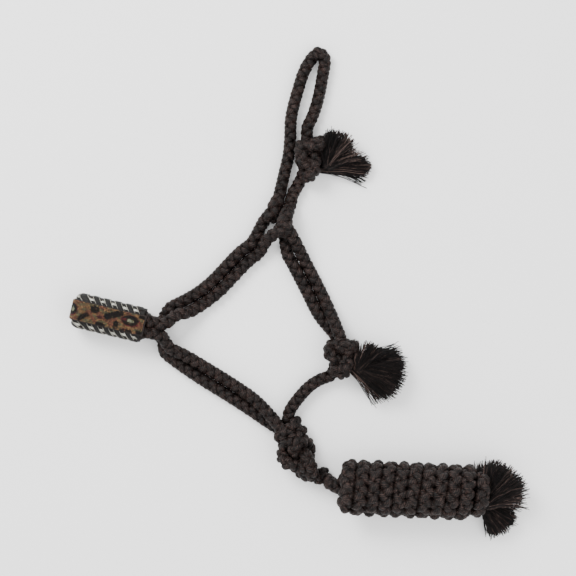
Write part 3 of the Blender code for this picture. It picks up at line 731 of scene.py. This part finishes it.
def halter_ropes():
    near_cheek, far_cheek = cheek_routes()
    near_chin, far_chin = chin_routes()
    near_throat, far_throat = throat_routes()
    crown, tie = crown_routes()
    halter_rope("forehead_rope", far_cheek[::-1] + nose_path(FOREHEAD_END, ROPE_FOLD) + near_cheek,
                "halter", "nose_rope_forehead", "near_cheek_rope", "far_cheek_rope")
    halter_rope("lip_rope", far_chin[::-1] + nose_path(LIP_END, ROPE_FOLD) + near_chin,
                "halter", "nose_rope_lip", "near_chin_rope", "far_chin_rope")
    halter_rope("near_throat_braid", near_throat, "halter", "near_throat_rope")
    halter_rope("far_throat_braid", far_throat, "halter", "far_throat_rope")
    halter_rope("fiador_braid", fiador_route(), "halter", "fiador_rope")
    halter_rope("crown_braid", crown, "halter", "crown_rope", far_side="crown")
    halter_rope("tie_braid", tie, "halter", "near_crown_rope", "tie_loop", far_side="crown")


# ---- splices and knots ----
def splice(name, centre, turn, level, node):
    """Where one rope passes through another's strands: the braid swells over its length."""
    ahead = along(turn)
    ends = [centre + UP * level + ahead * SPLICE_LENGTH * t for t in (-0.5, -0.17, 0.17, 0.5)]
    line = curve_through(ends, 0.0014)
    sleeve = braided(name, line, SPLICE_RADIUS, ROPE,
                     swell=lambda t: 0.74 + 0.26 * np.sin(np.pi * t) ** 0.7)
    finish_piece(sleeve, "halter", "halter_rope", node)


def clover(centre, size, height, turn, rope_radius, phase=0.0):
    """A closed three-lobed overhand knot drawn tight, inside an oval of this size."""
    t = np.linspace(0, 2 * math.pi, 145) + phase
    x = (np.sin(t) + 2 * np.sin(2 * t)) / 2.76
    y = (np.cos(t) - 2 * np.cos(2 * t)) / 3.0
    z = -np.sin(3 * t)
    half = (np.array((*size, height)) / 2) - rope_radius
    flat = np.stack((x * half[0], y * half[1], z * half[2]), -1)
    angle = math.radians(turn)
    rotation = np.array(((math.cos(angle), -math.sin(angle), 0), (math.sin(angle), math.cos(angle), 0),
                         (0, 0, 1)))
    return flat @ rotation.T + centre + UP * height / 2


def knots():
    tight = ROPE_RADIUS * 0.98
    throat, chin = THROAT_KNOT + shift(0.001, 0.003), CHIN_KNOT + shift(0.002, 0.001)
    places = (("throat_knot_turns", throat, (0.053, 0.068), 0.044, 0.0, 0.4, "halter", "throat_knot"),
              ("tie_knot_turns", TIE_KNOT, (0.050, 0.076), 0.044, -8.0, 1.1, "crown", "tie_knot"),
              ("chin_knot_turns", chin, (0.060, 0.080), 0.046, 30.0, 2.0, "halter", "chin_knot"))
    for name, centre, size, height, turn, phase, body, node in places:
        line = evenly(clover(centre, size, height, turn, tight, phase), 0.0015)
        finish_piece(braided(name, line, tight, ROPE), body, "halter_rope", node)
    waists = (("throat_knot_wrap", THROAT_KNOT + shift(0.003, 0.014, 0.021), 62.0, 0.0150, 0.0118, "halter"),
              ("throat_knot_lower_wrap", THROAT_KNOT + shift(0.001, -0.013, 0.021), 118.0, 0.0135, 0.0115,
               "halter"),
              ("tie_knot_wrap", TIE_KNOT + shift(0.004, 0.016, 0.021), 110.0, 0.0130, 0.0118, "crown"),
              ("tie_knot_lower_wrap", TIE_KNOT + shift(-0.004, -0.014, 0.021), 50.0, 0.0130, 0.0118, "crown"),
              ("chin_knot_wrap", CHIN_KNOT + shift(0.008, -0.005, 0.022), -10.0, 0.0150, 0.0125, "halter"))
    for name, centre, turn, wide, high, body in waists:
        ring = evenly(loop(centre, wide, high, along(turn), 0.006, 1.04), 0.0014)
        finish_piece(braided(name, ring, tight * 0.95, ROPE), body, "halter_rope")
    collar_axis = along(CHIN_KNOT_TURN)
    collar = CHIN_COLLAR + shift(0.0080, 0.0020, 0.0205) - collar_axis * 0.004
    ring = loop(collar, 0.0170, 0.0118, collar_axis, 0.0140, 1.9)
    finish_piece(braided("chin_collar_turns", evenly(ring, 0.0014), tight * 0.95, ROPE), "halter",
                 "halter_rope", "chin_knot_collar")


# ---- frayed ends ----
YARN_THICKNESS = 0.75 * MM
YARN_STEPS = 10


def yarn_bunch(rng, root, turn, spread, length, height, count, back, sweep=0.0):
    """Locks of yarn that leave a rope end within its round, fan out flat and droop to the floor.

    back is how far inside the knot they start and sweep how far their tips hang to one side.
    """
    t = np.linspace(0, 1, YARN_STEPS)[:, None]
    ahead = along(turn)
    locks = [(rng.uniform(-1, 1), rng.random() ** 2, rng.normal(sweep, 0.006), rng.uniform(0.80, 1.0))
             for _ in range(count // 14)]
    paths, shades = [], []
    for _ in range(count):
        lock_lean, lock_shade, curl, lock_reach = locks[rng.integers(len(locks))]
        lean = float(np.clip(lock_lean + rng.normal(0, 0.07), -1.05, 1.05))
        out = along(turn + spread * lean)
        side = left_of(out)
        reach = length * (1 - 0.14 * lean * lean) * lock_reach * rng.uniform(0.90, 1.06)
        tip = rng.uniform(0.0010, height * (1 - 0.45 * lean * lean))
        ring = rng.uniform(0, 2 * math.pi)
        inner = ROPE_RADIUS * 0.8 * math.sqrt(rng.random())
        start = root - ahead * back + left_of(ahead) * math.cos(ring) * inner
        start = start + UP * math.sin(ring) * inner
        arch = 0.006 * rng.uniform(-0.3, 1.0)
        crimp = rng.uniform(0.0002, 0.0009)
        waves = rng.uniform(1.5, 4.0)
        curl += rng.normal(0, 0.0015)
        path = start + out * (reach + back) * t
        path = path + UP * ((tip - start[2]) * t ** 1.3 + arch * np.sin(np.pi * t))
        path = path + side * (curl * t ** 2 + crimp * np.sin(2 * np.pi * waves * t + ring))
        path[:, 2] = np.maximum(path[:, 2], 0.0010)
        paths.append(path)
        shades.append(0.65 * lock_shade + 0.35 * rng.random() ** 2)
    return paths, shades


def tassel(name, seed, body, joined, node, begin, end, *bunches):
    """Bunches of yarn as one piece. begin and end are not used."""
    rng = np.random.default_rng(seed)
    paths, shades = [], []
    for bunch in bunches:
        more_paths, more_shades = yarn_bunch(rng, *bunch)
        paths += more_paths
        shades += more_shades
    verts = np.concatenate(paths)
    firsts = np.arange(len(paths))[:, None] * YARN_STEPS + np.arange(YARN_STEPS - 1)
    edges = np.stack((firsts, firsts + 1), -1).reshape(-1, 2)
    mesh = bpy.data.meshes.new(name + "_paths")
    mesh.from_pydata([tuple(v) for v in verts], [tuple(e) for e in edges.tolist()], [])
    mesh.attributes.new("shade", "FLOAT", "POINT").data.foreach_set(
        "value", np.repeat(shades, YARN_STEPS))
    source = bpy.data.objects.new(name + "_paths", mesh)
    bpy.context.scene.collection.objects.link(source)
    made = made_real(name, source, *YARNS, YARN, thickness=YARN_THICKNESS, yarn=YARN)
    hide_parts(node)
    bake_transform(made)


def tassels():
    root = THROAT_KNOT + shift(0.0270, -0.0110, 0.022)
    tassel("throat_fringe", 3, "throat_tassel", "halter", "throat_tassel",
           root - along(-10) * 0.016, root + along(-10) * 0.012,
           (root, -16.0, 32.0, 0.071, 0.040, 1050, 0.020, -0.002),
           (root + shift(0.006, 0.002, 0.004), 48.0, 40.0, 0.037, 0.044, 420, 0.014, -0.003))
    root = TIE_KNOT + shift(0.0280, -0.0080, 0.024)
    tassel("crown_fringe_upper", 5, "crown_tassel", "crown", "crown_tassel_upper",
           root - along(56) * 0.010, root + along(56) * 0.012,
           (root, 60.0, 38.0, 0.050, 0.042, 800, 0.010))
    root = TIE_KNOT + shift(0.0260, -0.0150, 0.012)
    tassel("crown_fringe_lower", 7, "crown_tassel", "crown", "crown_tassel_lower",
           root - along(-5) * 0.016, root + along(-5) * 0.014,
           (root, 2.0, 9.0, 0.066, 0.018, 600, 0.016))
    root = shift(0.3705, -0.3520, 0.042)
    tassel("lead_fringe_upper", 9, "lead_tassel_upper", "lead", "lead_tassel_upper",
           root - along(58) * 0.010, root + along(58) * 0.028,
           (root, 56.0, 46.0, 0.062, 0.056, 1200, 0.010, -0.006))
    root = shift(0.3720, -0.3600, 0.018)
    tassel("lead_fringe_lower", 11, "lead_tassel_lower", "lead", "lead_tassel_lower",
           root - along(-50) * 0.012, root + along(-50) * 0.014,
           (root, -48.0, 26.0, 0.052, 0.027, 700, 0.012))


# ---- the noseband ----
def round_fold(radius, margin, spacing):
    """Points along the folded strip at this distance from the fold's axis, and their outward side."""
    fold = NOSE_REAR + NOSE_AHEAD * (NOSEBAND_LENGTH - STACK_HEIGHT / 2) + UP * FOLD_LEVEL
    rear = NOSE_REAR + NOSE_AHEAD * margin + UP * FOLD_LEVEL
    angles = np.linspace(-math.pi / 2, math.pi / 2, 60)
    line = [rear - UP * radius]
    line += [fold + (NOSE_AHEAD * math.cos(a) + UP * math.sin(a)) * radius for a in angles]
    line.append(rear + UP * radius)
    line = evenly(np.array(line), spacing)
    return line, unit(np.cross(tangents(line), NOSE_UP))


STRIP_HALF = 0.1243            # from the fold to the rear end of the beads, along the strip
BEAD_COLOURS = {"gold": "#695036", "straw": "#4a4733", "amber": "#57372a", "red": "#551a20",
                "maroon": "#300f18", "black": "#020202", "navy": "#03060b", "green": "#70735f"}
GROUND = ("gold", "straw", "amber", "gold", "maroon", "navy")


def oval(u, v, u0, v0, wide, high):
    return ((u - u0) / wide) ** 2 + ((v - v0) / high) ** 2


def stroke(u, v, u0, v0, u1, v1):
    """How far a point lies from a straight stroke between two points, in millimetres."""
    share = ((u - u0) * (u1 - u0) + (v - v0) * (v1 - v0)) / ((u1 - u0) ** 2 + (v1 - v0) ** 2)
    share = min(1.0, max(0.0, share))
    return math.hypot(u - u0 - share * (u1 - u0), v - v0 - share * (v1 - v0))


def spotted(u, v):
    """The bead's colour at u mm from the strip's middle and v mm up from its middle line."""
    u = abs(u)
    found = "gold" if math.sin(u / 4.3 + v / 2.1) + math.sin(v / 1.3 - u / 9) > -0.2 else "straw"
    if math.sin(u / 6.1 + 1.0) * math.cos(v / 4.5) > 0.55:
        found = "amber"
    if stroke(u, v, 79, -8.5, 55, 4.5) < 3.4 or stroke(u, v, 54, -10, 44, 0) < 2.2:
        found = "amber"
    rosettes = ((13.4, 0.6, 10.2, 8.4), (105.0, 3.0, 12.5, 7.6))
    for u0, v0, wide, high in rosettes:
        ring = oval(u, v, u0, v0, wide, high)
        if ring < 1.35:
            found = "red" if v < v0 + 3 else "amber"
        if ring < 1.0:
            found = "navy" if v > v0 + 2 else "black"
        if ring < 0.16:
            found = "green"
    if oval(u, v, 96.0, 3.0, 5.0, 3.0) < 1 or oval(u, v, 0.0, -1.5, 3.0, 5.0) < 1:
        found = "red" if oval(u, v, 96.0, 3.0, 2.6, 1.6) < 1 or u < 1.6 else "maroon"
    if stroke(u, v, 89, 10.5, 70, 1.5) < 4.6:
        found = "navy" if (u + v) % 5 < 2.2 else "black"
    if stroke(u, v, 85, -4.5, 85, -11) < 3.4 or stroke(u, v, 40, -3, 30, -11) < 3.2:
        found = "black"
    if oval(u, v, 50, 7.2, 7.0, 5.4) < 1 or oval(u, v, 62, -13, 7.5, 3.6) < 1:
        found = "black" if v < 8 else "navy"
    if oval(u, v, 59, -2.3, 4.6, 2.4) < 1:
        found = "maroon"
    if oval(u, v, 102, -13.2, 9.0, 2.9) < 1 or (u > 117 and abs(v) > 9):
        found = "black"
    return found


def bead_shape():
    """One seed bead: a short eight-sided barrel with its hole's axis on X."""
    profile = ((-0.55, 0.30), (-0.42, 0.58), (0.0, 0.68), (0.42, 0.58), (0.55, 0.30))
    ring = np.linspace(0, 2 * math.pi, 8, endpoint=False)
    rings = np.array([[(x * MM, r * MM * math.cos(a), r * MM * math.sin(a)) for a in ring]
                      for x, r in profile])
    return new_piece("bead_shape", rings.reshape(-1, 3), swept(rings), BEADS)


def bead_panel():
    """Rows of beads across the strip, from the far rear end round the fold to the near one."""
    pitch, row_pitch, rows = 1.45 * MM, 1.25 * MM, 23
    line, _ = round_fold(STACK_HEIGHT / 2 - 0.0010, 0.0025, pitch)
    ahead = tangents(line)
    reached = lengths(line)
    verts, turns, dyes = [], [], []
    rng = np.random.default_rng(21)
    for i in range(len(line)):
        square = Matrix((NOSE_UP, ahead[i], np.cross(NOSE_UP, ahead[i]))).transposed()
        turn = square.to_euler()
        for row in range(rows):
            v = (row - (rows - 1) / 2) * row_pitch
            jitter = rng.normal(0, 0.04 * MM, 3)
            verts.append(line[i] + NOSE_UP * v + jitter)
            turns.append(tuple(turn))
            name = spotted((reached[i] - reached[-1] / 2) / MM * STRIP_HALF * 2 / reached[-1], v / MM)
            if rng.random() < (0.05 if name in ("black", "navy", "maroon") else 0.17):
                name = GROUND[rng.integers(len(GROUND))]
            tint = math.exp(rng.normal(0, 0.42))
            dyes.append([min(1.0, c * tint) for c in colour(BEAD_COLOURS[name])[:3]] + [1.0])
    mesh = bpy.data.meshes.new("bead_places")
    mesh.from_pydata([tuple(v) for v in verts], [], [])
    mesh.attributes.new("turn", "FLOAT_VECTOR", "POINT").data.foreach_set("vector", np.ravel(turns))
    mesh.attributes.new("bead_colour", "FLOAT_COLOR", "POINT").data.foreach_set("color", np.ravel(dyes))
    source = bpy.data.objects.new("bead_places", mesh)
    bpy.context.scene.collection.objects.link(source)
    shape = bead_shape()
    beads = made_real("seed_bead_panel", source, *BEAD_ROWS, BEADS, bead=shape, size=1.0, glass=BEADS)
    bpy.data.objects.remove(shape, do_unlink=True)
    finish_piece(beads, "halter", "seed_beads", "bead_panel")


def face_outward(piece):
    """Turn every face outwards."""
    work = bmesh.new()
    work.from_mesh(piece.data)
    bmesh.ops.recalc_face_normals(work, faces=work.faces)
    work.to_mesh(piece.data)
    work.free()
    piece.data.update()


def strip_piece(name, radius, thickness, width, margin, material):
    """A strip folded round the noseband, from its outer face inwards."""
    line, outward = round_fold(radius, margin, 0.002)
    across = NOSE_UP * width / 2
    inner = line - outward * thickness * np.sign(np.dot(outward[0], line[0] - FOLD_LEVEL * UP
                                                        - NOSE_REAR) or 1)
    rings = np.stack((line - across, line + across, inner + across, inner - across), axis=1)
    made = new_piece(name, rings.reshape(-1, 3), swept(rings), material, smooth=False)
    face_outward(made)
    return made


class LacedEdge:
    """Places on one laced nose rope: s along it from the far rear end, an angle round it from its
    outward side towards the noseband's edge, and a distance from its centreline."""

    def __init__(self, end, edge_side):
        path = np.array(nose_path(end + NOSE_AHEAD * 0.0030, ROPE_FOLD, 60))
        path[1:-1] = np.array(nose_path(end, ROPE_FOLD, 60))[1:-1]
        self.line = evenly(path, 0.0005)
        self.reached = lengths(self.line)
        self.length = self.reached[-1]
        self.side = NOSE_UP * edge_side
        across = np.cross(tangents(self.line), NOSE_UP)
        self.out = unit(across)
        if self.out[0][2] > 0:
            self.out = -self.out

    def at(self, s, angle, radius):
        s = np.clip(s, 0, self.length)
        where = np.column_stack([np.interp(s, self.reached, self.line[:, k]) for k in range(3)])
        out = unit(np.column_stack([np.interp(s, self.reached, self.out[:, k]) for k in range(3)]))
        inward = np.cos(angle) < 0
        radius = np.where(inward, np.minimum(radius, ROPE_FOLD - 0.0004), radius)
        return where + out * (np.cos(angle) * radius)[:, None] + self.side * (np.sin(angle) * radius)[:, None]


LACE_PITCH = 16.6 * MM
LACE_WIDTH = 9.4 * MM
LACE_SLANT = 6.5 * MM         # how far a turn runs along the edge for each radian on the outer face


def slanted(angle):
    """How far along the edge a turn has come: slanting on the outer face, back on the hidden one."""
    return LACE_PITCH * angle / (2 * math.pi) + LACE_SLANT * np.sin(angle - 0.35)


def wound(edge, name, material, offset, width, low, high, slot, lean):
    """A flat lace wound round the rope, its middle at offset along each turn."""
    turns = edge.length / LACE_PITCH
    angle = np.arange(0, 2 * math.pi * turns, math.radians(12))
    middle = LACE_WIDTH / 2 + slanted(angle) + offset
    angle = angle[(middle > LACE_WIDTH * 0.7) & (middle < edge.length - LACE_WIDTH * 0.7)]
    middle = LACE_WIDTH / 2 + slanted(angle) + offset
    across = ((-0.5, low), (-0.5, high - 0.0004), (-0.42, high), (0.42, high), (0.5, high - 0.0004),
              (0.5, low))
    rings = np.stack([edge.at(middle + share * width, lean * angle, np.full(len(angle), r))
                      for share, r in across], axis=1)
    made = new_piece(name, rings.reshape(-1, 3), swept(rings), material)
    face_outward(made)
    return finish_piece(made, "halter", slot)


def silver_patches(edge, name, lean):
    """The silver lace that shows between the dark turns, on the side next to the beads."""
    verts, faces = [], []
    gap = LACE_PITCH - LACE_WIDTH
    angles = np.radians(np.linspace(20, 38, 5))
    rng = np.random.default_rng(17)
    for k in range(1, int(edge.length / LACE_PITCH)):
        middle = (k + 0.5) * LACE_PITCH + LACE_WIDTH / 2
        shifted = angles + rng.uniform(-0.14, 0.14)
        rings = []
        for share in np.linspace(-0.40, 0.40, 5):
            s = middle + share * gap + slanted(lean * shifted)
            outer = LACED_RADIUS + 0.0005 * math.cos(share * math.pi)
            upper = edge.at(s, shifted, np.full(len(angles), outer))
            lower = edge.at(s, shifted, np.full(len(angles), 0.0094))[::-1]
            rings.append(np.vstack((upper, lower)))
        rings = np.array(rings)
        faces += swept(rings, len(verts))
        verts += list(rings.reshape(-1, 3))
    made = new_piece(name, np.array(verts), faces, SILVER_LACE, smooth=False)
    face_outward(made)
    return finish_piece(made, "halter", "silver_lace")


def lacing(label, end, edge_side, node, lean):
    edge = LacedEdge(end, edge_side)
    spots = np.arange(0, edge.length, 0.002)
    ring = np.linspace(0, 2 * math.pi, 25)[:-1]
    rings = np.stack([edge.at(spots, np.full(len(spots), a), np.full(len(spots), 0.00965))
                      for a in ring], axis=1)
    base = new_piece(f"{label}_lace_base", rings.reshape(-1, 3), swept(rings), DARK_LACE)
    face_outward(base)
    finish_piece(base, "halter", "dark_lace", node)
    wound(edge, f"{label}_lace_turns", DARK_LACE, 0.0, LACE_WIDTH, 0.0094, 0.01075, "dark_lace", lean)
    for side, place in (("rear", -0.5), ("front", 0.5)):
        wound(edge, f"{label}_silver_edge_{side}", SILVER_LACE, place * LACE_WIDTH, 0.6 * MM, 0.0098,
              0.0110, "silver_lace", lean)
    silver_patches(edge, f"{label}_silver_patches", lean)


def noseband():
    bead_panel()
    backing = strip_piece("bead_backing", STACK_HEIGHT / 2 - 0.0012, 0.0007, 0.0290, 0.0022, THREAD)
    finish_piece(backing, "halter", "seed_beads")
    lacing("forehead", FOREHEAD_END, 1, "forehead_lacing", -1)
    lacing("lip", LIP_END, -1, "lip_lacing", 1)
    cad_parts["noseband_leather"].data.materials.clear()
    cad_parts["noseband_leather"].data.materials.append(LEATHER)


studio()
YARNS = yarn_tree()
BEAD_ROWS = bead_tree()
lead_rope, lead_line, lead_size, lead_collar = lead()
halter_ropes()
splice("far_splice_swell", FAR_SPLICE, FAR_SPLICE_TURN, SPLICE_RADIUS, "far_splice")
splice("near_splice_swell", NEAR_SPLICE, NEAR_SPLICE_TURN, OVER_LEVEL, "near_splice")
knots()
tassels()
noseband()
